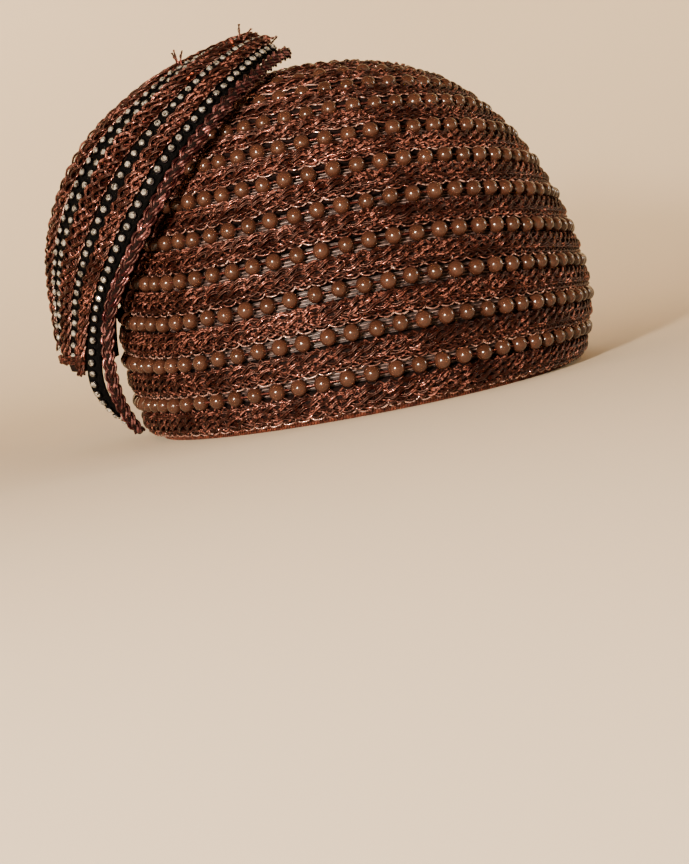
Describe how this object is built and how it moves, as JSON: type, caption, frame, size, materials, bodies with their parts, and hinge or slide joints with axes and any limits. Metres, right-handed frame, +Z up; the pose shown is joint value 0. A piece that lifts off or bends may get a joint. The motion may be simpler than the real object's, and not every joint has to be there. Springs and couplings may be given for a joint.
{
  "type": "brimless beaded hat",
  "caption": "Brimless domed hat of stiff net, ringed by knitted metallic braid and strings of round beads, with a padded wing of braid and clear stones at one side.",
  "frame": {"origin": "the middle of the whole hat's footprint, wing included, on the plane that the rim rests on", "axes": "+Z up through the crown, the wearer faces -Y, and the wing is on the -X side"},
  "size_m": [0.2078, 0.215, 0.1468],
  "materials": {
    "stiff_net": "stiff open net, greyish brown",
    "grosgrain_ribbon": "ribbed rust-brown ribbon",
    "metallic_braid": "knitted dark brown yarn with copper and pinkish metallic thread",
    "chocolate_bead": "polished milk-chocolate brown",
    "plaited_cord": "plaited dark brown and copper metallic yarn",
    "black_tape": "matt black woven tape",
    "clear_stone": "clear faceted stones in small dark cups"
  },
  "bodies": {
    "root": {"crown_net": "stiff_net", "sweatband_ribbon": "grosgrain_ribbon", "braid_row_01": "metallic_braid", "braid_row_02": "metallic_braid", "braid_row_03": "metallic_braid", "braid_row_04": "metallic_braid", "braid_row_05": "metallic_braid", "braid_row_06": "metallic_braid", "braid_row_07": "metallic_braid", "braid_row_08": "metallic_braid", "braid_row_09": "metallic_braid", "braid_row_10": "metallic_braid", "braid_row_11": "metallic_braid", "braid_row_12": "metallic_braid", "braid_row_13": "metallic_braid", "bead_row_01": "chocolate_bead", "bead_row_02": "chocolate_bead", "bead_row_03": "chocolate_bead", "bead_row_04": "chocolate_bead", "bead_row_05": "chocolate_bead", "bead_row_06": "chocolate_bead", "bead_row_07": "chocolate_bead", "bead_row_08": "chocolate_bead", "bead_row_09": "chocolate_bead", "bead_row_10": "chocolate_bead", "bead_row_11": "chocolate_bead", "bead_row_12": "chocolate_bead", "crown_tip_coil": "metallic_braid", "wing_panel": "stiff_net", "wing_stone_tape": "black_tape", "wing_edge_cord": "plaited_cord", "wing_stone_row_1": "clear_stone", "wing_stone_row_2": "clear_stone", "wing_stone_row_3": "clear_stone", "wing_braid_1": "metallic_braid", "wing_braid_2": "metallic_braid", "wing_braid_3": "metallic_braid", "wing_braid_4": "metallic_braid", "wing_braid_5": "metallic_braid", "wing_braid_6": "metallic_braid"}
  },
  "joints": []
}
